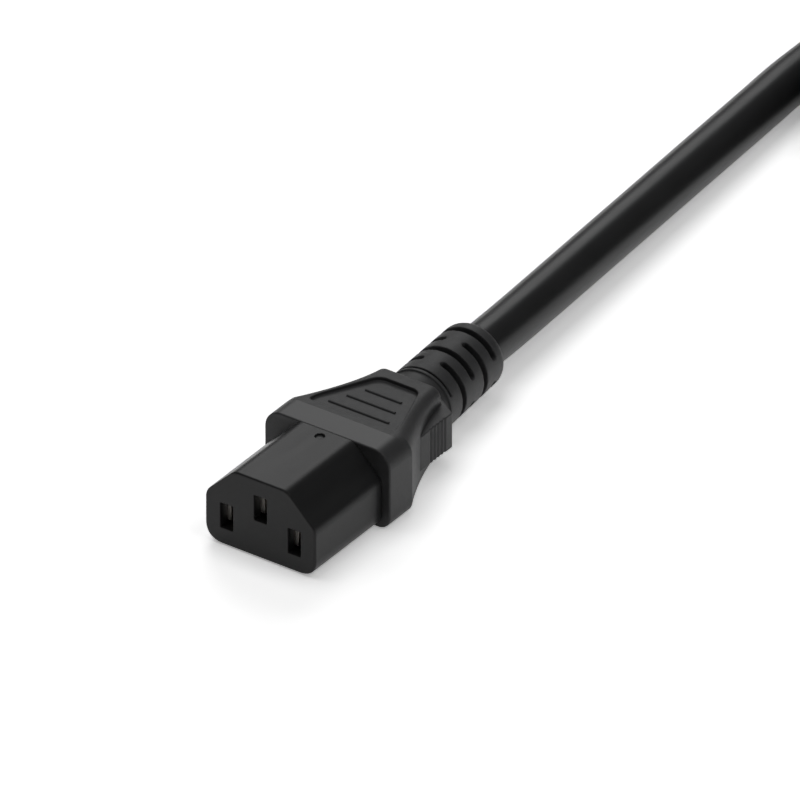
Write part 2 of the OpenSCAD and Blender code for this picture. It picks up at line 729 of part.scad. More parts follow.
module plug_wire(i) color("#c47a45") plug_frame()
    tube(concat([[pole[i].x, plug_wire_start, pole[i].y]], plug_core(i)), wire_d / 2, 8);
module plug_line_wire() plug_wire(0);
module plug_neutral_wire() plug_wire(1);
module plug_earth_wire() plug_wire(2);
module plug_line_core() color("#6b3f25") plug_frame() core(plug_core(0));
module plug_neutral_core() color("#3b6fb5") plug_frame() core(plug_core(1));
module plug_earth_core() color("#5b9a3c") plug_frame() core(plug_core(2));
module plug_sheath_end() color("#202124") plug_frame() sheath_end(plug_cut, plug_pivot_y, 0);

nose_insert();
contact_retainer();
inner_mould();
connector_overmould();
line_contact();
neutral_contact();
earth_contact();
line_wire();
neutral_wire();
earth_wire();
line_core();
neutral_core();
earth_core();
connector_sheath_end();
cable_run();
cable_coil();
cable_tail();
coil_tie();
plug_shroud();
plug_inner_mould();
plug_overmould();
plug_line_pin();
plug_neutral_pin();
plug_earth_pin();
plug_line_wire();
plug_neutral_wire();
plug_earth_wire();
plug_line_core();
plug_neutral_core();
plug_earth_core();
plug_sheath_end();
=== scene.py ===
"""Dresses the moulded connector, its cord and the plug on the cord's far end.

Shapes are worked out in millimetres, in the frame of the connector or of the plug: x across, y back
from the mating face and z up from the axis of the nose. They are moved into the row frame, in metres,
as their meshes are made.
"""

import json
import logging
import math
from dataclasses import dataclass
from enum import Enum
from typing import Callable, Optional, Sequence

import bmesh
import bpy
import numpy as np
from mathutils import Matrix, Vector

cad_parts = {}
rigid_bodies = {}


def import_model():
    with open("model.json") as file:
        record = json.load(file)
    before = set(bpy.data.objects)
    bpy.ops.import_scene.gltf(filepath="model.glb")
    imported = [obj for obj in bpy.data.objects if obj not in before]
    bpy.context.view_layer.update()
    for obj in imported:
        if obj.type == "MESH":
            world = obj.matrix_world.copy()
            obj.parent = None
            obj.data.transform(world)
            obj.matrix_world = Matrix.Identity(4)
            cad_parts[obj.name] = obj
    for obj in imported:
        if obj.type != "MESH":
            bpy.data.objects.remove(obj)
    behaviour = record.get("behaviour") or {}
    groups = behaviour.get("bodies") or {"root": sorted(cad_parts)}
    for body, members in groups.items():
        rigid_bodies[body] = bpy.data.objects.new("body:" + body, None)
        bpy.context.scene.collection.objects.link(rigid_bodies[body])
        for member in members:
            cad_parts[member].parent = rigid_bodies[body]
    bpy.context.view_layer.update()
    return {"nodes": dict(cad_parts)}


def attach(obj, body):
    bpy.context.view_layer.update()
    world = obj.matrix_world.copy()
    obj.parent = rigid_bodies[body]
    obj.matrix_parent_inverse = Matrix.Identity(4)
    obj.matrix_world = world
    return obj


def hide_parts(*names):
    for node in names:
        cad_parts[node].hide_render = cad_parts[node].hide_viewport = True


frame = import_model()

log = logging.getLogger("power_cord")
MM = 0.001

Array = np.ndarray
Field = Callable[[Array, Array, Array], Array]

# ---- sizes in millimetres that the pieces share ----
AXIS_H = 7.9
TIP_Y = 65.8889
NOSE_W, NOSE_H, NOSE_LEN, NOSE_SLANT = 22.8, 15.4, 19.6, 5.9
POLES = ((7.0, -2.0), (-7.0, -2.0), (0.0, 2.0))
INSERT_HALF, INSERT_HIGH, INSERT_EMBED = 10.05, 5.6, 8.6
CORD_R = 4.33
RELIEF_DROP = 0.9
RELIEF_LEN = 19.6
LEAN = 4.4
LAY = 2 * CORD_R * 1.02
COIL_R = 30.8
COIL = (COIL_R + LAY - 9.75, 166.0)
STRAIGHT = 56.0
STUB = 27.0
PLUG = (COIL[0] + COIL_R - 3.0, 134.0, 4 * CORD_R + 10.4)
SHROUD_LEN = 19.6


# ---- shader graphs ----
class Value:
    """A number that comes out of a shader socket, with the usual operators."""

    def __init__(self, graph: "Graph", socket: bpy.types.NodeSocket) -> None:
        """Keeps the socket and the graph that it belongs to."""
        self.graph = graph
        self.socket = socket

    def _math(self, operation: str, *others: object) -> "Value":
        """Adds one Math node.

        Args:
            operation: the node's operation.
            others: the operands, in order; the string "self" stands for this value.

        Returns:
            The value of the new node.
        """
        operands = [self if other == "self" else other for other in others]
        return self.graph.add("ShaderNodeMath", {"operation": operation}, dict(enumerate(operands)))

    def __add__(self, other: object) -> "Value":
        """self + other."""
        return self._math("ADD", "self", other)

    __radd__ = __add__

    def __sub__(self, other: object) -> "Value":
        """self - other."""
        return self._math("SUBTRACT", "self", other)

    def __rsub__(self, other: object) -> "Value":
        """other - self."""
        return self._math("SUBTRACT", other, "self")

    def __mul__(self, other: object) -> "Value":
        """self * other."""
        return self._math("MULTIPLY", "self", other)

    __rmul__ = __mul__

    def step(self, low: float, high: float) -> "Value":
        """A smooth step.

        Args:
            low: where the step starts, at 0.
            high: where it ends, at 1; it may be less than low, for a step down.

        Returns:
            A value from 0 to 1.
        """
        settings = {"interpolation_type": "SMOOTHSTEP"}
        if low < high:
            ends = {"Value": self, "From Min": low, "From Max": high}
        else:
            ends = {"Value": self, "From Min": high, "From Max": low, "To Min": 1.0, "To Max": 0.0}
        return self.graph.add("ShaderNodeMapRange", settings, ends)


class Graph:
    """The node tree of one material or of the world."""

    def __init__(self, owner: bpy.types.ID) -> None:
        """Clears the owner's nodes."""
        owner.use_nodes = True
        self.owner = owner
        self.tree = owner.node_tree
        self.tree.nodes.clear()

    def add(self, kind: str, settings: Optional[dict] = None, inputs: Optional[dict] = None,
            out: object = 0) -> Value:
        """Adds one node of any kind.

        Args:
            kind: the node's type name.
            settings: its properties, set first; "stops" is a list of ramp stops.
            inputs: socket name or number to a number, a colour or a Value.
            out: the name or number of the output to return.

        Returns:
            The chosen output.
        """
        node = self.tree.nodes.new(kind)
        for key, value in (settings or {}).items():
            if key == "stops":
                ramp = node.color_ramp.elements
                while len(ramp) < len(value):
                    ramp.new(0.5)
                for element, (place, colour) in zip(ramp, value):
                    element.position = place
                    element.color = (*colour, 1.0) if len(colour) == 3 else colour
            else:
                setattr(node, key, value)
        for key, value in (inputs or {}).items():
            if isinstance(value, Value):
                self.tree.links.new(value.socket, node.inputs[key])
            elif isinstance(value, tuple) and len(value) == 3 and node.inputs[key].type == "RGBA":
                node.inputs[key].default_value = (*value, 1.0)
            else:
                node.inputs[key].default_value = value
        return Value(self, node.outputs[out])

    def place(self) -> tuple[Value, Value, Value]:
        """The x, y and z of the surface in the row frame, in millimetres."""
        point = self.add("ShaderNodeTexCoord", out="Object")
        axes = [self.add("ShaderNodeSeparateXYZ", None, {0: point}, axis) for axis in range(3)]
        return tuple(axis * 1000.0 for axis in axes)

    def noise(self, size: float, detail: float = 2.0, stretch: tuple = (1.0, 1.0, 1.0)) -> Value:
        """Noise fixed to the piece.

        Args:
            size: the width of one blotch, in millimetres.
            detail: how many finer layers it has.
            stretch: how much longer a blotch is along each axis.

        Returns:
            A value about 0.5.
        """
        point = self.add("ShaderNodeTexCoord", out="Object")
        scale = tuple(1.0 / s for s in stretch)
        turned = self.add("ShaderNodeMapping", None, {"Vector": point, "Scale": scale})
        return self.add("ShaderNodeTexNoise", None,
                        {"Vector": turned, "Scale": 1000.0 / size, "Detail": detail, "Roughness": 0.55})

    def mix(self, share: object, first: object, second: object) -> Value:
        """A colour between two, by share."""
        return self.add("ShaderNodeMix", {"data_type": "RGBA"}, {0: share, 6: first, 7: second}, 2)

    def bump(self, height: Value, depth: float, strength: float = 1.0,
             under: Optional[Value] = None) -> Value:
        """A Bump node.

        Args:
            height: from 0 to 1.
            depth: the height of 1, in millimetres.
            strength: from 0 to 1.
            under: a normal that this one is laid over.

        Returns:
            The new normal.
        """
        inputs = {"Height": height, "Distance": depth * MM, "Strength": strength}
        if under is not None:
            inputs["Normal"] = under
        return self.add("ShaderNodeBump", None, inputs)

    def finish(self, surface: Value) -> None:
        """Joins the shader to the output."""
        kind = "World" if isinstance(self.owner, bpy.types.World) else "Material"
        node = self.tree.nodes.new("ShaderNodeOutput" + kind)
        self.tree.links.new(surface.socket, node.inputs["Surface"])


def grey(level: float) -> tuple[float, float, float]:
    """A neutral colour, very slightly cool."""
    return (level * 0.985, level * 0.99, level * 1.015)


# ---- finishes ----
@dataclass(frozen=True)
class Coat:
    """What every finish has: a name, a material slot and one way to be built."""

    name: str
    slot: str

    def inputs(self, graph: Graph) -> dict:
        """The shader inputs of this finish, from the nodes that it adds to the graph."""
        raise NotImplementedError

    def build(self) -> bpy.types.Material:
        """Builds the material.

        Returns:
            The new material.
        """
        graph = Graph(bpy.data.materials.new(self.name))
        graph.finish(graph.add("ShaderNodeBsdfPrincipled", None, self.inputs(graph)))
        return graph.owner


@dataclass(frozen=True)
class SoftMoulding(Coat):
    """Soft matt plastic with the fine spark texture of its mould, and a smooth band on the collar."""

    slot: str = "grip_plastic"
    shade: float = 0.046
    rough: float = 0.5
    grain: float = 0.24
    grain_depth: float = 0.035
    band_back: float = -8.05
    top_band: bool = True

    def inputs(self, graph: Graph) -> dict:
        """The shader inputs of this finish."""
        x, y, z = graph.place()
        grain = graph.noise(self.grain, 3.0)
        mottle = graph.noise(1.3, 3.0)
        clouds = graph.noise(7.0, 2.0)
        if self.top_band:
            smooth_band = y.step(self.band_back + 0.12, self.band_back) * z.step(14.0, 14.8)
        else:
            smooth_band = y * 0.0
        matt = 1.0 - smooth_band
        tone = (grain - 0.5) * 0.30 * matt + (mottle - 0.5) * 0.28 * matt + (clouds - 0.5) * 0.18
        share = (tone + 0.5)
        colour = graph.mix(share, grey(self.shade * 0.55), grey(self.shade * 1.45))
        rough = self.rough + (mottle - 0.5) * 0.16 * matt + (grain - 0.5) * 0.12 * matt - smooth_band * 0.10
        normal = graph.bump(grain * matt + mottle * 0.55 * matt, self.grain_depth)
        return {
            "Base Color": colour, "Roughness": rough, "Normal": normal,
            "Specular IOR Level": 0.3, "IOR": 1.5,
        }


@dataclass(frozen=True)
class Nylon(Coat):
    """Harder satin plastic of the inserts, with faint flow lines from its gates."""

    slot: str = "insert_plastic"
    shade: float = 0.02
    rough: float = 0.36

    def inputs(self, graph: Graph) -> dict:
        """The shader inputs of this finish."""
        flow = graph.noise(3.0, 3.0, (1.0, 6.0, 1.0))
        fine = graph.noise(0.3, 2.0)
        colour = graph.mix(flow, grey(self.shade * 0.8), grey(self.shade * 1.25))
        rough = self.rough + (flow - 0.5) * 0.14 + (fine - 0.5) * 0.06
        normal = graph.bump(fine, 0.01)
        return {
            "Base Color": colour, "Roughness": rough, "Normal": normal, "Specular IOR Level": 0.2,
        }


@dataclass(frozen=True)
class Sheath(Coat):
    """The drawn sheath of the cord: satin, with a faint waviness along its length."""

    slot: str = "sheath"
    shade: float = 0.024
    rough: float = 0.33

    def inputs(self, graph: Graph) -> dict:
        """The shader inputs of this finish."""
        draw = graph.noise(1.1, 2.0, (1.0, 12.0, 1.0))
        cloud = graph.noise(9.0, 2.0)
        colour = graph.mix(cloud, grey(self.shade * 0.85), grey(self.shade * 1.2))
        rough = self.rough + (draw - 0.5) * 0.08 + (cloud - 0.5) * 0.06
        normal = graph.bump(draw, 0.02, 0.6)
        return {
            "Base Color": colour, "Roughness": rough, "Normal": normal, "Specular IOR Level": 0.24,
        }


@dataclass(frozen=True)
class Plating(Coat):
    """Bare or plated metal with fine draw marks along y."""

    colour: tuple[float, float, float]
    rough: float = 0.28
    mark: float = 0.012

    def inputs(self, graph: Graph) -> dict:
        """The shader inputs of this finish."""
        draw = graph.noise(0.25, 2.0, (1.0, 14.0, 1.0))
        stain = graph.noise(2.2, 3.0)
        dull = tuple(c * 0.78 for c in self.colour)
        colour = graph.mix(stain.step(0.35, 0.8), self.colour, dull)
        rough = self.rough + (draw - 0.5) * 0.2 + stain.step(0.4, 0.85) * 0.12
        normal = graph.bump(draw, self.mark)
        return {
            "Base Color": colour, "Roughness": rough, "Normal": normal, "Metallic": 1.0,
        }


@dataclass(frozen=True)
class Insulation(Coat):
    """Plain coloured plastic: core insulation, hidden filler and the strap."""

    colour: tuple[float, float, float]
    rough: float = 0.45

    def inputs(self, graph: Graph) -> dict:
        """The shader inputs of this finish."""
        cloud = graph.noise(2.5, 3.0)
        fine = graph.noise(0.35, 2.0)
        dark = tuple(c * 0.8 for c in self.colour)
        light = tuple(min(1.0, c * 1.15) for c in self.colour)
        return {
            "Base Color": graph.mix(cloud, dark, light),
            "Roughness": self.rough + (fine - 0.5) * 0.14,
            "Normal": graph.bump(fine, 0.012),
        }


class Finish(Enum):
    """Every finish on the part."""

    GRIP = SoftMoulding("soft_moulding")
    PLUG_GRIP = SoftMoulding("soft_moulding_plug", top_band=False)
    INSERT = Nylon("nylon_insert")
    SHEATH = Sheath("cord_sheath")
    PIN = Plating("nickel_pin", "pin_metal", (0.62, 0.61, 0.59))
    CONTACT = Plating("tinned_contact", "contact_brass", (0.52, 0.5, 0.46), 0.34)
    COPPER = Plating("copper_wire", "copper", (0.74, 0.36, 0.2), 0.3, 0.03)
    FILLER = Insulation("inner_mould", "core_mould_plastic", (0.22, 0.225, 0.235), 0.5)
    BROWN = Insulation("brown_core", "brown_insulation", (0.11, 0.045, 0.02))
    BLUE = Insulation("blue_core", "blue_insulation", (0.03, 0.12, 0.42))
    GREEN = Insulation("green_core", "green_insulation", (0.1, 0.3, 0.05))
    STRAP = Insulation("strap", "tie_plastic", (0.03, 0.03, 0.032), 0.5)


class Wardrobe:
    """Makes each finish once and puts it on pieces."""

    def __init__(self) -> None:
        """Starts with nothing made."""
        self.made: dict[Finish, bpy.types.Material] = {}

    def material(self, finish: Finish) -> bpy.types.Material:
        """The material of a finish, made the first time it is asked for."""
        if finish not in self.made:
            self.made[finish] = finish.value.build()
        return self.made[finish]

    def dress(self, obj: bpy.types.Object, finish: Finish) -> None:
        """Puts a finish on every part of an object."""
        obj.data.materials.clear()
        obj.data.materials.append(self.material(finish))


WARDROBE = Wardrobe()


def settle(obj: bpy.types.Object, finish: Finish, *nodes: str) -> bpy.types.Object:
    """Dresses a finished piece and ties it to the frame.

    Args:
        obj: the piece, with its place in its mesh.
        finish: what it is made of.
        nodes: the CAD nodes that it stands for, if any.

    Returns:
        The same object.
    """
    WARDROBE.dress(obj, finish)
    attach(obj, "root")
    if nodes:
        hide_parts(*nodes)
    log.info("%s: %s", obj.name, finish.name.lower())
    return obj


# ---- solids as distance fields ----
def soft_max(a: Array, b: Array, k: float) -> Array:
    """The larger of two fields, with the edge between them rounded to about radius k."""
    h = np.maximum(k - np.abs(a - b), 0.0) / k
    return np.maximum(a, b) + h * h * (k / 4.0)


def soft_min(a: Array, b: Array, k: float) -> Array:
    """The smaller of two fields, with a fillet of about radius k."""
    return -soft_max(-a, -b, k)


def cut(solid: Array, cutter: Array, k: float = 0.0) -> Array:
    """A solid less a cutter, with its new edges rounded to about radius k."""
    return soft_max(solid, -cutter, k) if k else np.maximum(solid, -cutter)


def block(x: Array, y: Array, z: Array, low: Sequence[float], high: Sequence[float], k: float = 0.0) -> Array:
    """A box between two corners with edges rounded to about k."""
    pairs = ((x, low[0], high[0]), (y, low[1], high[1]), (z, low[2], high[2]))
    sides = [np.abs(p - (a + b) / 2) - (b - a) / 2 for p, a, b in pairs]
    if not k:
        return np.maximum(np.maximum(sides[0], sides[1]), sides[2])
    return soft_max(soft_max(sides[0], sides[1], k), sides[2], k)


def nose_outline(x: Array, z: Array, grow: float = 0.0) -> Array:
    """The face of the nose, larger by grow on every side: two square corners and two slanted ones."""
    w, h = NOSE_W / 2 + grow, NOSE_H / 2 + grow
    slant = NOSE_SLANT + grow * 0.59
    ax = np.abs(x)
    box = soft_max(ax - w, z - h, 0.3)
    box = soft_max(box, -h - z, 3.5 + grow)
    return soft_max(box, (ax + z - (w + h - slant)) * math.sqrt(0.5), 0.8)


def insert_tail(x: Array, y: Array, z: Array, front: float, rear: float, trim: float = 0.0) -> Array:
    """The part of an insert that lies inside its grip body, smaller by trim on every side."""
    core = block(x, y, z, (trim - INSERT_HALF, front, trim - INSERT_HIGH),
                 (INSERT_HALF - trim, rear, INSERT_HIGH - trim))
    return np.maximum(core, nose_outline(x, z, -1.35 - trim))


def smooth(u: Array) -> Array:
    """A smooth step of a value that is cut off at 0 and 1."""
    u = np.clip(u, 0.0, 1.0)
    return u * u * (3 - 2 * u)


class Net:
    """Meshes a distance field: one point in each grid cell that the surface crosses."""

    def __init__(self, shape: Field, low: Sequence[float], high: Sequence[float], step: float) -> None:
        """Keeps the field and the part of space that is meshed, in millimetres."""
        self.shape = shape
        self.low = np.array(low, float)
        self.high = np.array(high, float)
        self.step = step

    def sample(self) -> Array:
        """The field at every grid point."""
        axes = [np.arange(a, b + self.step, self.step) for a, b in zip(self.low, self.high)]
        x, y, z = axes[0][:, None, None], axes[1][None, :, None], axes[2][None, None, :]
        full = self.shape(x, y, z)
        return np.broadcast_to(full, (len(axes[0]), len(axes[1]), len(axes[2]))).astype(np.float32)

    def gradient(self, points: Array, reach: float = 0.02) -> Array:
        """The gradient of the field at each point.

        Args:
            points: one row of x, y and z each.
            reach: half the distance between the two samples on each axis.

        Returns:
            One row for each point.
        """
        rows = []
        for axis in range(3):
            shift = np.zeros(3)
            shift[axis] = reach
            ahead, behind = points + shift, points - shift
            rows.append((self.shape(*ahead.T) - self.shape(*behind.T)) / (2 * reach))
        return np.stack(rows, axis=1)

    def settle(self, points: Array, rounds: int = 3) -> Array:
        """Moves points onto the surface along the gradient."""
        for _ in range(rounds):
            slope = self.gradient(points)
            size = np.maximum((slope * slope).sum(1), 0.05)
            move = slope * (self.shape(*points.T) / size)[:, None]
            far = np.maximum(np.linalg.norm(move, axis=1) / (self.step * 0.5), 1.0)
            points = points - move / far[:, None]
        return points

    def faces(self) -> tuple[Array, Array]:
        """Finds the points and the four-sided faces of the surface.

        Returns:
            The points, in millimetres, and the faces, as rows of four point numbers.
        """
        value = self.sample()
        inside = value < 0
        corner = [inside[i:i - 1 or None, j:j - 1 or None, k:k - 1 or None]
                  for i in (0, 1) for j in (0, 1) for k in (0, 1)]
        some = np.logical_or.reduce(corner)
        every = np.logical_and.reduce(corner)
        cells = np.argwhere(some & ~every)
        number = np.full(some.shape, -1, np.int32)
        number[tuple(cells.T)] = np.arange(len(cells))
        offsets = np.array([(i, j, k) for i in (0, 1) for j in (0, 1) for k in (0, 1)])
        at = [value[tuple((cells + o).T)] for o in offsets]
        total = np.zeros((len(cells), 3))
        count = np.zeros(len(cells))
        for a in range(8):
            for b in range(a + 1, 8):
                if np.abs(offsets[a] - offsets[b]).sum() != 1:
                    continue
                crossed = (at[a] < 0) != (at[b] < 0)
                share = np.where(crossed, at[a] / np.where(crossed, at[a] - at[b], 1.0), 0.0)
                spot = offsets[a] + share[:, None] * (offsets[b] - offsets[a])
                total += np.where(crossed[:, None], spot, 0.0)
                count += crossed
        points = self.low + (cells + total / count[:, None]) * self.step
        quads = []
        for axis in range(3):
            u, v = (axis + 1) % 3, (axis + 2) % 3
            near = [slice(1, -1)] * 3
            near[axis] = slice(None, -1)
            far = list(near)
            far[axis] = slice(1, None)
            start, end = inside[tuple(near)], inside[tuple(far)]
            edges = np.argwhere(start != end)
            base = edges.copy()
            base[:, u] += 1
            base[:, v] += 1
            ring = []
            for du, dv in ((0, 0), (-1, 0), (-1, -1), (0, -1)):
                cell = base.copy()
                cell[:, u] += du
                cell[:, v] += dv
                ring.append(number[tuple(cell.T)])
            ring = np.stack(ring, axis=1)
            # the way round that makes each face point out of the solid
            outward = start[tuple(edges.T)]
            ring[~outward] = ring[~outward][:, ::-1]
            quads.append(ring)
        return points, np.concatenate(quads)

    def build(self, name: str, place: Sequence[float], limit: int) -> bpy.types.Object:
        """Makes the mesh object.

        Args:
            name: the new piece's name.
            place: where the shape's own origin lies in the row frame, in millimetres.
            limit: the most triangles that it may have.

        Returns:
            The object, at the origin, with its place in its mesh.
        """
        points, quads = self.faces()
        points = self.settle(points)
        mesh = bpy.data.meshes.new(name)
        mesh.from_pydata(points.tolist(), [], quads.tolist())
        mesh.update()
        obj = bpy.data.objects.new(name, mesh)
        bpy.context.scene.collection.objects.link(obj)
        triangles = 2 * len(quads)
        if triangles > limit:
            thin = obj.modifiers.new("thin", "DECIMATE")
            thin.ratio = limit / triangles
            obj = flatten(obj)
        mesh = obj.data
        flat = np.empty(3 * len(mesh.vertices))
        mesh.vertices.foreach_get("co", flat)
        points = self.settle(flat.reshape(-1, 3), 1)
        normals = self.gradient(points, 0.01)
        normals /= np.maximum(np.linalg.norm(normals, axis=1), 1e-6)[:, None]
        mesh.vertices.foreach_set("co", ((points + np.array(place)) * MM).ravel())
        mesh.update()
        mesh.shade_smooth()
        mesh.normals_split_custom_set_from_vertices(normals.tolist())
        log.info("%s: %d triangles", name, len(mesh.loops) - 2 * len(mesh.polygons))
        return obj


def flatten(obj: bpy.types.Object) -> bpy.types.Object:
    """Turns an object with modifiers, or a curve, into a plain mesh object of the same name.

    Args:
        obj: the object, at the origin.

    Returns:
        The new object; the old one is removed.
    """
    bpy.context.view_layer.update()
    evaluated = obj.evaluated_get(bpy.context.evaluated_depsgraph_get())
    mesh = bpy.data.meshes.new_from_object(evaluated)
    name = obj.name
    bpy.data.objects.remove(obj)
    plain = bpy.data.objects.new(name, mesh)
    mesh.name = name
    bpy.context.scene.collection.objects.link(plain)
    return plain


# ---- the moulded grip with its slotted relief ----
@dataclass
class GripBody:
    """The soft moulding over the back of an insert: collar, finger recess, side grips and relief."""

    name: str
    node: str
    finish: Finish
    place: tuple[float, float, float]
    front: float
    half_width: float
    top: float
    bottom: float
    lean: float
    pocket_outline: Optional[float] = None
    boss_rear: float = NOSE_LEN + INSERT_EMBED
    step: float = 0.2
    limit: int = 190_000
    collar_len: float = 6.6
    taper_len: float = 17.8
    rear_top: float = 5.85
    edge_r: float = 3.5
    rear_edge_r: float = 2.0
    low_edge_r: float = 2.6
    low_rear_r: float = 1.4
    flank_power: float = 1.55
    relief_r: float = 6.5
    relief_tip_r: float = 6.25
    relief_end_r: float = 1.8
    neck_r: float = 6.2
    grip_face: float = 9.7
    grip_len: float = 9.5
    grip_setback: float = 10.75
    grip_h: float = 6.9
    grip_drop: float = 0.75
    groove_front: float = 3.1
    groove_pitch: float = 1.03
    groove_d: float = 0.72
    recess_w: float = 17.4
    recess_rear_w: float = 8.2
    recess_depth: float = 0.75
    ring_pitch: float = 3.65
    first_ring: float = 1.55

    @property
    def start(self) -> float:
        """Where the collar ends and the taper starts."""
        return self.front + self.collar_len

    @property
    def end(self) -> float:
        """The rear edge of the top."""
        return self.start + self.taper_len

    @property
    def pivot(self) -> float:
        """The point about which the relief leans."""
        return self.end + 2.0

    @property
    def recess(self) -> tuple[float, float]:
        """The front and the back of the finger recess."""
        return self.start + 0.4, self.end - 3.0

    def flank(self, y: Array) -> Array:
        """Half the width of the body at y."""
        end = self.end + 1.0
        u = np.clip((end - y) / (end - self.start), 0.0, 1.0)
        return self.half_width + (self.relief_r - self.half_width) * (1 - u ** self.flank_power)

    def crown(self, y: Array) -> Array:
        """The top of the body at y."""
        u = np.clip((y - self.start + 1.3) / (self.taper_len + 1.3), 0.0, 1.0)
        return self.top + (self.rear_top - self.top) * u

    def floor(self, y: Array) -> Array:
        """The floor of the finger recess at y."""
        front, back = self.recess
        u = np.clip((y - front) / (back - front), -0.2, 1.2)
        return self.crown(y) - self.recess_depth * (0.8 + 0.2 * u)

    def along(self, x: Array, y: Array, z: Array) -> tuple[Array, Array, Array, Array]:
        """Measures from the relief's axis.

        Returns:
            The distance along the axis from the pivot, the two distances across, and the radius.
        """
        c, s = math.cos(math.radians(self.lean)), math.sin(math.radians(self.lean))
        run = -x * s + (y - self.pivot) * c
        across = x * c + (y - self.pivot) * s
        up = z + RELIEF_DROP
        return run, across, up, np.sqrt(across * across + up * up)

    def body(self, x: Array, y: Array, z: Array) -> Array:
        """The tapered body, without its recess and grips."""
        u = np.clip((y - self.start) / self.taper_len, 0.0, 1.0)
        wide, high = self.flank(y), self.crown(y)
        rise = self.bottom - RELIEF_DROP - self.relief_r
        low = -self.bottom + rise * u ** 3
        middle, half = (high + low) / 2, (high - low) / 2
        upper = self.edge_r + (self.rear_edge_r - self.edge_r) * u
        lower = self.low_edge_r + (self.low_rear_r - self.low_edge_r) * u
        r = np.where(z > middle, upper, lower)
        qx, qz = np.abs(x) - wide + r, np.abs(z - middle) - half + r
        section = np.minimum(np.maximum(qx, qz), 0.0) + np.hypot(np.maximum(qx, 0), np.maximum(qz, 0)) - r
        return soft_max(soft_max(section, self.front - y, 0.35), y - self.end, 0.55)

    def recess_cutter(self, x: Array, y: Array, z: Array) -> Array:
        """The finger recess."""
        front, back = self.recess
        wf, wb = self.recess_w / 2, self.recess_rear_w / 2
        turn = math.atan2(wf - wb, back - front - 2.2)
        ax = np.abs(x)
        side = (ax - wf) * math.cos(turn) + (y - front - 2.2) * math.sin(turn)
        plan = soft_max(ax - wf, side, 0.5)
        plan = soft_max(plan, y - back, 1.6)
        plan = soft_max(plan, front - y, 0.7)
        return soft_max(plan, self.floor(y) - z, 0.22)

    def side_grips(self, x: Array, y: Array, z: Array) -> Array:
        """The two ribbed blocks on the flanks, each with a flat ledge on top."""
        front = self.end - self.grip_setback
        back = front + self.grip_len
        ax = np.abs(x) - self.grip_face
        ahead = (3.0 * ax - 6.7 * (y - front)) / math.hypot(3.0, 6.7)
        reach = self.grip_face - self.relief_r + 0.4
        slant = (2.4 * ax + reach * (y - back)) / math.hypot(2.4, reach)
        plan = soft_max(soft_max(ax, ahead, 0.25), slant, 0.25)
        plan = soft_max(plan, y - back - 2.4, 0.2)
        near = np.full(np.broadcast(x, y).shape, 9.0)
        for i in range(5):
            middle = front + self.groove_front + i * self.groove_pitch
            near = np.minimum(near, np.hypot(ax - self.groove_d * 0.2, y - middle) - self.groove_d / 2)
        plan = cut(plan, near, 0.12)
        return soft_max(plan, np.abs(z + self.grip_drop) - self.grip_h / 2, 0.2)

    def sleeve(self, x: Array, y: Array, z: Array) -> Array:
        """The neck and the slotted sleeve round the cord."""
        run, across, up, radius = self.along(x, y, z)
        u = np.clip((run - 0.6) / (RELIEF_LEN - self.relief_end_r - 0.6), 0.0, 1.0)
        taper = self.relief_r + (self.relief_tip_r - self.relief_r) * u
        tube = soft_max(radius - taper, run - RELIEF_LEN, self.relief_end_r)
        tube = soft_max(tube, 0.6 - run, 0.2)
        slots = np.full(np.broadcast(x, y, z).shape, 9.0)
        angle = np.arctan2(up, across)
        for ring in range(5):
            even = ring % 2 == 0
            centre = math.pi / 2 if even else 0.0
            half_span = math.radians(64.0 if even else 69.0)
            half_wide = 0.2 if ring == 0 else 0.65
            # the angle from the middle of the nearer of the ring's two slots
            off = np.abs((angle - centre + math.pi / 2) % math.pi - math.pi / 2)
            beyond = np.maximum(off - half_span, 0.0) * radius
            middle = self.first_ring + ring * self.ring_pitch
            slots = np.minimum(slots, np.hypot(beyond, run - middle) - half_wide)
        slots = np.maximum(slots, CORD_R + 0.5 - radius)
        tube = cut(tube, slots, 0.16)
        neck = np.maximum(radius - self.neck_r, np.maximum(-3.0 - run, run - 1.2))
        return soft_min(tube, neck, 0.12)

    def cavity(self, x: Array, y: Array, z: Array) -> Array:
        """The space that the insert, the inner moulding and the cord fill."""
        rear = self.boss_rear
        space = insert_tail(x, y, z, self.front - 2, rear)
        if self.pocket_outline is not None:
            pocket = np.maximum(nose_outline(x, z, self.pocket_outline + 0.02), y - SHROUD_LEN)
            space = np.minimum(space, pocket)
            fan_start = rear
        else:
            fan_start = rear + 1.5
            cap = insert_tail(x, y, z, rear - 1, fan_start, 0.25)
            space = np.minimum(space, cap)
        fan_end = fan_start + 11.0
        u = np.clip((y - fan_start) / (fan_end - fan_start), 0.0, 1.0)
        end = CORD_R + 0.7
        wide = INSERT_HALF - 1 + (end - INSERT_HALF + 1) * u
        high = INSERT_HIGH - 0.6
        top = high + (end - RELIEF_DROP - high) * u
        base = -high + (-end - RELIEF_DROP + high) * u
        fan = np.maximum(np.maximum(np.abs(x) - wide, z - top), base - z)
        fan = np.maximum(fan, np.maximum(fan_start - 0.1 - y, y - fan_end))
        run, _, _, radius = self.along(x, y, z)
        bore = np.maximum(radius - CORD_R - 0.03, fan_end - 1 - self.pivot - run)
        return np.minimum(space, np.minimum(fan, bore))

    def solid(self, x: Array, y: Array, z: Array) -> Array:
        """The whole moulding."""
        shape = soft_min(self.body(x, y, z), self.side_grips(x, y, z), 0.12)
        shape = cut(shape, self.recess_cutter(x, y, z), 0.22)
        shape = soft_min(shape, self.sleeve(x, y, z), 0.7)
        return cut(shape, self.cavity(x, y, z))

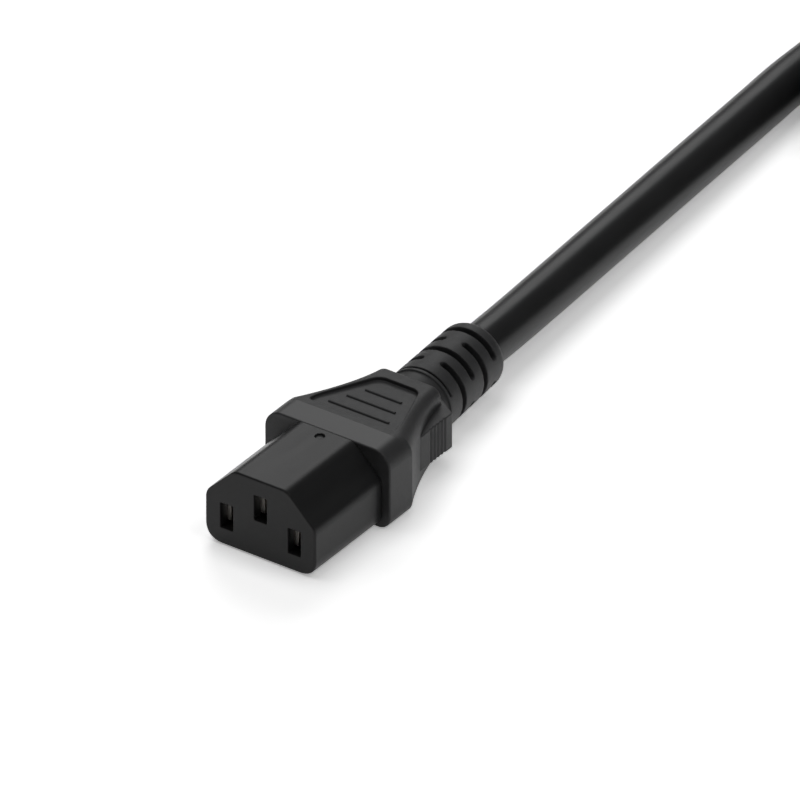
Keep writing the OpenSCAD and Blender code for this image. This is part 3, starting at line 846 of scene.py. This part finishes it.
    def build(self) -> bpy.types.Object:
        """Builds and dresses the moulding.

        Returns:
            The finished piece.
        """
        wide = self.half_width + 0.5
        low = (-wide, self.front - 0.5, -self.bottom - 0.4)
        high = (wide, self.pivot + RELIEF_LEN + 0.6, self.top + 0.5)
        step = self.step * 1.0
        obj = Net(self.solid, low, high, step).build(self.name, self.place, self.limit)
        return settle(obj, self.finish, self.node)


# ---- the hard inserts ----
@dataclass
class NoseInsert:
    """The hard nose with its three slots."""

    slot_w: float = 2.6
    slot_h: float = 4.9
    slot_depth: float = 2.2
    dimple_back: float = 2.15

    def solid(self, x: Array, y: Array, z: Array) -> Array:
        """The nose, and the block behind it that the grip body covers."""
        nose = soft_max(nose_outline(x, z), np.abs(y - NOSE_LEN / 2) - NOSE_LEN / 2, 0.35)
        rear = NOSE_LEN + INSERT_EMBED
        tail = insert_tail(x, y, z, NOSE_LEN - 1, rear)
        shape = np.minimum(nose, tail)
        for px, pz in POLES:
            slot = block(x - px, y, z - pz, (-self.slot_w / 2, -2, -self.slot_h / 2),
                         (self.slot_w / 2, self.slot_depth + 0.5, self.slot_h / 2), 0.2)
            hollow = block(x - px, y, z - pz, (-2, self.slot_depth, -2.5), (2, rear + 2, 2.5))
            shape = cut(shape, slot, 0.14)
            shape = cut(shape, hollow)
        dimple = np.maximum(np.hypot(x, y - NOSE_LEN + self.dimple_back) - 0.8, NOSE_H / 2 - 0.35 - z)
        return cut(shape, dimple, 0.12)

    def build(self) -> bpy.types.Object:
        """Builds and dresses the insert.

        Returns:
            The finished piece.
        """
        low = (-NOSE_W / 2 - 0.4, -0.4, -NOSE_H / 2 - 0.4)
        high = (NOSE_W / 2 + 0.4, NOSE_LEN + INSERT_EMBED + 0.4, NOSE_H / 2 + 0.4)
        step = 0.2
        obj = Net(self.solid, low, high, step).build("nose_moulding", (0, -TIP_Y / 2, AXIS_H), 120_000)
        return settle(obj, Finish.INSERT, "nose_insert")


@dataclass
class PlugShroud:
    """The hard shroud round the pins of the plug."""

    gap: float = 0.6
    wall: float = 1.7
    depth: float = 17.0
    boss_rear: float = 27.6

    def solid(self, x: Array, y: Array, z: Array) -> Array:
        """The shroud, its base and the block behind it."""
        ends = np.abs(y - SHROUD_LEN / 2) - SHROUD_LEN / 2
        outer = soft_max(nose_outline(x, z, self.gap + self.wall), ends, 0.3)
        tail = insert_tail(x, y, z, SHROUD_LEN - 1, self.boss_rear)
        hollow = soft_max(nose_outline(x, z, self.gap), y - self.depth, 0.4)
        shape = cut(np.minimum(outer, tail), hollow, 0.3)
        for px, pz in POLES:
            back = block(x - px, y, z - pz, (-2, SHROUD_LEN, -2.5), (2, self.boss_rear + 2, 2.5))
            shape = cut(shape, back)
        return shape

    def build(self) -> bpy.types.Object:
        """Builds and dresses the shroud.

        Returns:
            The finished piece.
        """
        wide = NOSE_W / 2 + self.gap + self.wall + 0.4
        high = NOSE_H / 2 + self.gap + self.wall + 0.4
        step = 0.3
        net = Net(self.solid, (-wide, -0.5, -high), (wide, self.boss_rear + 0.5, high), step)
        return settle(net.build("plug_shroud_moulding", PLUG, 90_000), Finish.INSERT, "plug_shroud")


# ---- the cord ----
@dataclass
class Cord:
    """The cord from the relief to the plug, with its coil."""

    length: float = 1.83
    climb: float = 2 * CORD_R
    samples: int = 24
    rings: tuple[float, ...] = (COIL_R + LAY, COIL_R, COIL_R - LAY, COIL_R - LAY, COIL_R, COIL_R + LAY)
    run: tuple[tuple[float, float, float], ...] = (
        (-1.93, 38, 6.7), (-2.4, 44, 6.4), (-3.15, 54, 6.16), (-3.92, 64, 5.95), (-4.7, 74, 5.74),
        (-5.45, 84, 5.54), (-6.22, 94, 5.33), (-7, 104, 5.12), (-7.75, 114, 4.91), (-8.5, 124, 4.71),
        (-9.1, 131, 4.5))

    def side(self, across: float, z: float, forward: bool) -> list[tuple[float, float, float]]:
        """The points of one straight side of the coil.

        Args:
            across: distance from the coil's middle, negative on the left.
            z: height of the centre line.
            forward: whether the cord runs away from the connector there.

        Returns:
            The points in order, raised where the strap passes under them.
        """
        shares = (0.12, 0.3, 0.4, 0.5, 0.6, 0.7, 0.88)
        lift = [0.9 * math.exp(-(((u - 0.5) / 0.13) ** 2)) if across < 0 else 0.0 for u in shares]
        points = [(COIL[0] + across, COIL[1] + STRAIGHT * u, z + up) for u, up in zip(shares, lift)]
        return points if forward else points[::-1]

    def far_end(self, r: float, z: float) -> list[tuple[float, float, float]]:
        """The points of one far end, from the left side round to the right."""
        angles = [math.pi * (1 - k / self.samples) for k in range(self.samples + 1)]
        return [(COIL[0] + r * math.cos(a), COIL[1] + STRAIGHT + r * math.sin(a), z) for a in angles]

    def near_end(self, turn: int, z: float) -> list[tuple[float, float, float]]:
        """The points of one near end, from the right side round to the left, into the next turn.

        Args:
            turn: the number of the turn that ends here, from 0.
            z: height of the centre line on the right side.

        Returns:
            The points in order.
        """
        points = []
        before, after = self.rings[turn], self.rings[turn + 1]
        for k in range(self.samples + 1):
            left = 180 * (1 - k / self.samples)
            r, high = before, z
            if turn < 2:
                r = before + (after - before) * float(smooth((60 - left) / 55))
            elif turn == 2:
                high = z + self.climb * float(smooth((115 - left) / 55))
            else:
                r = before + (after - before) * float(smooth((170 - left) / 55))
            a = math.radians(left)
            points.append((COIL[0] - r * math.cos(a), COIL[1] - r * math.sin(a), high))
        return points

    def last_turn(self) -> list[tuple[float, float, float]]:
        """The points of the last far end, which rises off the coil and comes back to the plug."""
        low = CORD_R + self.climb
        end = PLUG[2] - RELIEF_DROP
        points = []
        for k in range(self.samples + 1):
            u = k / self.samples
            r = self.rings[-1] + (PLUG[0] - COIL[0] - self.rings[-1]) * float(smooth(2 * u - 1))
            a = math.pi * (1 - u)
            points.append((COIL[0] + r * math.cos(a), COIL[1] + STRAIGHT + r * math.sin(a),
                           low + (end - low) * float(smooth(u))))
        mouth = PLUG[1] + 44.4 + RELIEF_LEN
        return points + [(PLUG[0], mouth + d, end) for d in (18.0, 12.0, 6.0, 0.0)]

    def route(self) -> list[tuple[float, float, float]]:
        """The centre line in the row frame, in millimetres, from the relief to the plug."""
        lean = math.radians(LEAN)
        pivot = 46.0 - TIP_Y / 2
        mouth = (-RELIEF_LEN * math.sin(lean), pivot + RELIEF_LEN * math.cos(lean), AXIS_H - RELIEF_DROP)
        ahead = (mouth[0] - math.sin(lean), mouth[1] + math.cos(lean), mouth[2])
        points = [mouth, ahead, *self.run]
        left = COIL[0] - self.rings[0]
        points += [(left, COIL[1] - STUB * u, CORD_R) for u in (1.04, 0.8, 0.6, 0.4, 0.2, 0.0)]
        for turn in range(5):
            r = self.rings[turn]
            z = CORD_R if turn < 3 else CORD_R + self.climb
            points += self.side(-r, z, True) + self.far_end(r, z) + self.side(r, z, False)
            points += self.near_end(turn, z)
        return points + self.side(-self.rings[5], CORD_R + self.climb, True) + self.last_turn()

    def build(self, *with_pieces: bpy.types.Object) -> bpy.types.Object:
        """Args:
            with_pieces: the pieces that are on the cord; not used.

        Returns:
            The cord, a curve of one spline.
        """
        curve = bpy.data.curves.new("cord", "CURVE")
        curve.dimensions = "3D"
        curve.bevel_depth = CORD_R * MM
        curve.bevel_resolution = 8
        curve.use_fill_caps = True
        curve.resolution_u = 5
        spline = curve.splines.new("NURBS")
        points = [Vector(p) * MM for p in self.route()]
        spline.points.add(len(points) - 1)
        for target, point in zip(spline.points, points):
            target.co = (*point, 1.0)
        spline.order_u = 4
        spline.use_endpoint_u = True
        spline.use_smooth = True
        obj = bpy.data.objects.new("cord", curve)
        bpy.context.scene.collection.objects.link(obj)
        settle(obj, Finish.SHEATH, "cable_run", "cable_coil", "cable_tail")
        return obj


@dataclass
class Strap:
    """The strap round the left side of the coil: a plain closed band."""

    width: float = 5.0
    thick: float = 0.9

    def band(self) -> list[tuple[float, float]]:
        """The middle line of the band, as points across and up, in millimetres."""
        half = LAY + CORD_R + self.thick / 2
        low, high, r = self.thick / 2, 2 * 8.66 + self.thick * 1.5, CORD_R
        corners = [(half, low, -90), (half, high, 0), (-half, high, 90), (-half, low, 180)]
        points = []
        for across, up, start in corners:
            cx = across - math.copysign(r, across)
            cz = up + r if up == low else up - r
            for i in range(9):
                a = math.radians(start + 90 * i / 8)
                points.append((cx + r * math.cos(a), cz + r * math.sin(a)))
        return points

    def build(self) -> bpy.types.Object:
        """Builds and dresses the strap.

        Returns:
            The finished piece.
        """
        line = self.band()
        count = len(line)
        verts, faces = [], []
        profile = [(-0.5, -0.3), (-0.44, -0.5), (0.44, -0.5), (0.5, -0.3), (0.5, 0.3), (0.44, 0.5),
                   (-0.44, 0.5), (-0.5, 0.3)]
        for i in range(count):
            before, after = line[i - 1], line[(i + 1) % count]
            t = Vector((after[0] - before[0], after[1] - before[1])).normalized()
            out = Vector((t.y, -t.x))
            for wide, deep in profile:
                p = Vector(line[i]) + out * deep * self.thick
                verts.append((COIL[0] - COIL_R + p.x, COIL[1] + STRAIGHT / 2 + wide * self.width, p.y))
        n = len(profile)
        for i in range(count):
            j = (i + 1) % count
            faces += [(i * n + k, i * n + (k + 1) % n, j * n + (k + 1) % n, j * n + k) for k in range(n)]
        mesh = bpy.data.meshes.new("coil_strap")
        mesh.from_pydata([tuple(c * MM for c in v) for v in verts], [], faces)
        mesh.update()
        obj = bpy.data.objects.new("coil_strap", mesh)
        bpy.context.scene.collection.objects.link(obj)
        outward(obj)
        mesh.shade_smooth()
        return settle(obj, Finish.STRAP, "coil_tie")


def outward(obj: bpy.types.Object) -> None:
    """Turns the faces of a closed mesh outwards."""
    work = bmesh.new()
    work.from_mesh(obj.data)
    bmesh.ops.recalc_face_normals(work, faces=work.faces)
    work.to_mesh(obj.data)
    work.free()


# ---- pieces that repeat ----
class Tree:
    """A Geometry Nodes tree that is built in code."""

    def __init__(self, name: str, **sizes: float) -> None:
        """Starts a tree whose named inputs have the given default sizes."""
        self.group = bpy.data.node_groups.new(name, "GeometryNodeTree")
        self.ids: dict[str, str] = {}
        self.group.interface.new_socket("Geometry", in_out="INPUT", socket_type="NodeSocketGeometry")
        for label, value in sizes.items():
            kind = "NodeSocketInt" if isinstance(value, int) else "NodeSocketFloat"
            item = self.group.interface.new_socket(label, in_out="INPUT", socket_type=kind)
            item.default_value = value
            self.ids[label] = item.identifier
        self.group.interface.new_socket("Geometry", in_out="OUTPUT", socket_type="NodeSocketGeometry")
        self.source = self.group.nodes.new("NodeGroupInput")

    def size(self, label: str) -> bpy.types.NodeSocket:
        """The socket of a named size."""
        return self.source.outputs[label]

    def add(self, kind: str, settings: Optional[dict] = None, inputs: Optional[dict] = None,
            out: object = 0) -> bpy.types.NodeSocket:
        """Adds one node.

        Args:
            kind: the node's type name.
            settings: its properties, set first.
            inputs: socket name or number to a value or to another node's output.
            out: the output to return.

        Returns:
            The chosen output socket.
        """
        node = self.group.nodes.new(kind)
        for key, value in (settings or {}).items():
            setattr(node, key, value)
        for key, value in (inputs or {}).items():
            if isinstance(value, bpy.types.NodeSocket):
                self.group.links.new(value, node.inputs[key])
            else:
                node.inputs[key].default_value = value
        return node.outputs[out]

    def calc(self, operation: str, a: object, b: object) -> bpy.types.NodeSocket:
        """One Math node."""
        return self.add("ShaderNodeMath", {"operation": operation}, {0: a, 1: b})

    def vector(self, x: object, y: object, z: object) -> bpy.types.NodeSocket:
        """A vector from three numbers or sockets."""
        return self.add("ShaderNodeCombineXYZ", None, {0: x, 1: y, 2: z})

    def run(self, name: str, geometry: bpy.types.NodeSocket, finish: Finish,
            **sizes: float) -> bpy.types.Object:
        """Closes the tree, runs it once and keeps the result as a plain mesh.

        Args:
            name: the new piece's name.
            geometry: the last socket of the tree's own nodes.
            finish: the finish that Set Material gives.
            sizes: the values of the named inputs.

        Returns:
            The plain mesh object.
        """
        real = self.add("GeometryNodeRealizeInstances", None, {0: geometry})
        set_material = self.add("GeometryNodeSetMaterial", None,
                                {"Geometry": real, "Material": WARDROBE.material(finish)})
        output = self.group.nodes.new("NodeGroupOutput")
        self.group.links.new(set_material, output.inputs[0])
        mesh = bpy.data.meshes.new(name)
        obj = bpy.data.objects.new(name, mesh)
        modifier = obj.modifiers.new("shape", "NODES")
        modifier.node_group = self.group
        for label, value in sizes.items():
            modifier[self.ids[label]] = value
        bpy.context.scene.collection.objects.link(obj)
        return flatten(obj)


@dataclass
class FingerRibs:
    """The half-round ribs across the floor of a finger recess."""

    body: GripBody
    count: int = 3
    pitch: float = 3.65
    radius: float = 0.3
    first_half: float = 6.2
    shorter: float = 1.25

    def build(self) -> bpy.types.Object:
        """Builds and dresses the ribs.

        Returns:
            The finished piece.
        """
        tree = Tree("finger_ribs", Count=self.count, Pitch=1.0, Drop=1.0, Radius=1.0, Half=1.0, Shorter=1.0)
        minus = tree.calc("MULTIPLY", tree.size("Drop"), -1.0)
        line = tree.add("GeometryNodeMeshLine", {"mode": "OFFSET"},
                        {"Count": tree.size("Count"), "Offset": tree.vector(0.0, tree.size("Pitch"), minus)})
        bar = tree.add("GeometryNodeCurvePrimitiveLine", {"mode": "POINTS"},
                       {"Start": (-1.0, 0.0, 0.0), "End": (1.0, 0.0, 0.0)})
        index = tree.add("GeometryNodeInputIndex")
        half = tree.calc("SUBTRACT", tree.size("Half"), tree.calc("MULTIPLY", tree.size("Shorter"), index))
        bars = tree.add("GeometryNodeInstanceOnPoints", None,
                        {"Points": line, "Instance": bar, "Scale": tree.vector(half, 1.0, 1.0)})
        curves = tree.add("GeometryNodeRealizeInstances", None, {0: bars})
        ring = tree.add("GeometryNodeCurvePrimitiveCircle", {"mode": "RADIUS"},
                        {"Resolution": 20, "Radius": tree.size("Radius")})
        ribs = tree.add("GeometryNodeCurveToMesh", None,
                        {"Curve": curves, "Profile Curve": ring, "Fill Caps": True})
        first = self.body.recess[0] + 2.3
        drop = float(self.body.floor(first) - self.body.floor(first + self.pitch))
        name = self.body.name + "_ribs"
        obj = tree.run(name, ribs, self.body.finish, Count=self.count, Pitch=self.pitch * MM, Drop=drop * MM,
                       Radius=self.radius * MM, Half=self.first_half * MM, Shorter=self.shorter * MM)
        px, py, pz = self.body.place
        shift = Vector((px, py + first, pz + float(self.body.floor(first)))) * MM
        obj.data.transform(Matrix.Translation(shift))
        obj.data.shade_smooth()
        return settle(obj, self.body.finish)


# ---- carried-over solids ----
class Metalwork:
    """The solids that keep their own shape: contacts, pins, wires, cores and what is moulded round them."""

    finishes: dict[str, Finish] = {
        "contact_retainer": Finish.INSERT, "inner_mould": Finish.FILLER, "plug_inner_mould": Finish.FILLER,
        "line_contact": Finish.CONTACT, "neutral_contact": Finish.CONTACT, "earth_contact": Finish.CONTACT,
        "line_wire": Finish.COPPER, "neutral_wire": Finish.COPPER, "earth_wire": Finish.COPPER,
        "line_core": Finish.BROWN, "neutral_core": Finish.BLUE, "earth_core": Finish.GREEN,
        "connector_sheath_end": Finish.SHEATH, "plug_sheath_end": Finish.SHEATH,
        "plug_line_pin": Finish.PIN, "plug_neutral_pin": Finish.PIN, "plug_earth_pin": Finish.PIN,
        "plug_line_wire": Finish.COPPER, "plug_neutral_wire": Finish.COPPER, "plug_earth_wire": Finish.COPPER,
        "plug_line_core": Finish.BROWN, "plug_neutral_core": Finish.BLUE, "plug_earth_core": Finish.GREEN,
    }

    def dress(self) -> None:
        """Gives each of these solids its finish."""
        for node, finish in self.finishes.items():
            WARDROBE.dress(frame["nodes"][node], finish)
            log.info("%s: %s", node, finish.name.lower())


# ---- the studio ----
@dataclass
class Studio:
    """Camera, lights, floor and world."""

    azimuth: float = 35.1
    elevation: float = 32.4
    distance: float = 5.0
    pixels_per_mm: float = 5.92
    across: float = 23.6
    upward: float = 20.25

    def directions(self) -> tuple[Vector, Vector, Vector]:
        """The camera's right, up and back directions."""
        a, e = math.radians(self.azimuth), math.radians(self.elevation)
        right = Vector((math.cos(a), math.sin(a), 0.0))
        back = Vector((math.sin(a) * math.cos(e), -math.cos(a) * math.cos(e), math.sin(e)))
        return right, back.cross(right), back

    def camera(self) -> None:
        """Places the camera."""
        right, up, back = self.directions()
        nose = Vector((0.0, -TIP_Y / 2, AXIS_H)) * MM
        aim = nose + right * self.across * MM + up * self.upward * MM
        data = bpy.data.cameras.new("camera")
        data.sensor_width = 36.0
        data.lens = self.pixels_per_mm * self.distance * 1000.0 / 800.0 * data.sensor_width
        data.clip_start, data.clip_end = 0.1, 60.0
        obj = bpy.data.objects.new("camera", data)
        obj.matrix_world = Matrix((
            (right.x, up.x, back.x, 0), (right.y, up.y, back.y, 0), (right.z, up.z, back.z, 0), (0, 0, 0, 1)))
        obj.location = aim + back * self.distance
        bpy.context.scene.collection.objects.link(obj)
        bpy.context.scene.camera = obj

    def lamp(self, name: str, place: Sequence[float], size: float, power: float,
             aim: Sequence[float]) -> None:
        """Adds one square soft lamp that faces a point.

        Args:
            name: the lamp's name.
            place: where it stands, in metres.
            size: the side of its square, in metres.
            power: its power in watts.
            aim: the point that it faces, in metres.
        """
        data = bpy.data.lights.new(name, "AREA")
        data.size = size
        data.energy = power
        obj = bpy.data.objects.new(name, data)
        obj.location = place
        way = Vector(aim) - Vector(place)
        obj.rotation_euler = way.to_track_quat("-Z", "Y").to_euler()
        bpy.context.scene.collection.objects.link(obj)

    def lamps(self) -> None:
        """The soft lights: a large one behind on the left, one overhead and two weak ones on the right."""
        aim = (0.0, 0.03, 0.0)
        self.lamp("back_left", (-0.62, 0.95, 0.82), 0.75, 4.2, aim)
        self.lamp("overhead", (-0.25, 0.0, 1.25), 0.8, 3.4, aim)
        self.lamp("right", (1.1, 0.1, 0.5), 0.5, 0.35, aim)
        self.lamp("high_right", (0.62, 0.1, 1.05), 0.6, 1.5, aim)

    def floor(self) -> None:
        """The pale floor. It renders white to the camera, and keeps the object's shadow."""
        mesh = bpy.data.meshes.new("floor")
        half = 30.0
        corners = [(-half, -half, 0), (half, -half, 0), (half, half, 0), (-half, half, 0)]
        mesh.from_pydata(corners, [], [(0, 1, 2, 3)])
        obj = bpy.data.objects.new("floor", mesh)
        obj.location = (0, 0, -0.00005)
        bpy.context.scene.collection.objects.link(obj)
        graph = Graph(bpy.data.materials.new("floor"))
        paper = graph.add("ShaderNodeBsdfDiffuse", None, {"Color": (0.8, 0.8, 0.8)})
        lit = graph.add("ShaderNodeBsdfDiffuse", None, {"Color": (1.75, 1.75, 1.75)})
        glow = graph.add("ShaderNodeEmission", None, {"Color": (1.0, 1.0, 1.0), "Strength": 0.32})
        both = graph.add("ShaderNodeAddShader", None, {0: lit, 1: glow})
        seen = graph.add("ShaderNodeLightPath", out="Is Camera Ray")
        glossy = graph.add("ShaderNodeLightPath", out="Is Glossy Ray")
        through = graph.add("ShaderNodeLightPath", out="Is Transmission Ray")
        share = seen + glossy + through
        graph.finish(graph.add("ShaderNodeMixShader", None, {0: share, 1: paper, 2: both}))
        mesh.materials.append(graph.owner)

    def world(self) -> None:
        """The world: white to the camera, soft and dim to the object."""
        world = bpy.data.worlds.new("studio")
        graph = Graph(world)
        dim = graph.add("ShaderNodeBackground", None, {"Color": (1.0, 1.0, 1.0), "Strength": 0.07})
        white = graph.add("ShaderNodeBackground", None, {"Color": (1.0, 1.0, 1.0), "Strength": 1.0})
        seen = graph.add("ShaderNodeLightPath", out="Is Camera Ray")
        graph.finish(graph.add("ShaderNodeMixShader", None, {0: seen, 1: dim, 2: white}))
        bpy.context.scene.world = world

    def build(self) -> None:
        """Builds the whole studio."""
        self.camera()
        self.lamps()
        self.floor()
        self.world()
        bpy.context.scene.view_settings.view_transform = "Standard"


def main() -> None:
    """Builds every piece in order."""
    logging.basicConfig(level=logging.INFO, format="%(name)s %(message)s")
    Studio().build()
    connector = GripBody(
        name="connector_grip", node="connector_overmould", finish=Finish.GRIP,
        place=(0.0, -TIP_Y / 2, AXIS_H), front=NOSE_LEN, half_width=13.0, top=7.5, bottom=AXIS_H, lean=LEAN)
    plug = GripBody(
        name="plug_grip", node="plug_overmould", finish=Finish.PLUG_GRIP, place=PLUG, front=18.0,
        half_width=14.1, top=10.4, bottom=10.4, lean=0.0, pocket_outline=2.3, boss_rear=27.6,
        step=0.3, limit=110_000)
    plug_grip = plug.build()
    plug_shroud = PlugShroud().build()
    plug_ribs = FingerRibs(plug).build()
    strap = Strap().build()
    Cord().build(plug_grip, plug_shroud, plug_ribs, strap)
    connector.build()
    FingerRibs(connector).build()
    NoseInsert().build()
    Metalwork().dress()


if __name__ == "__main__":
    main()
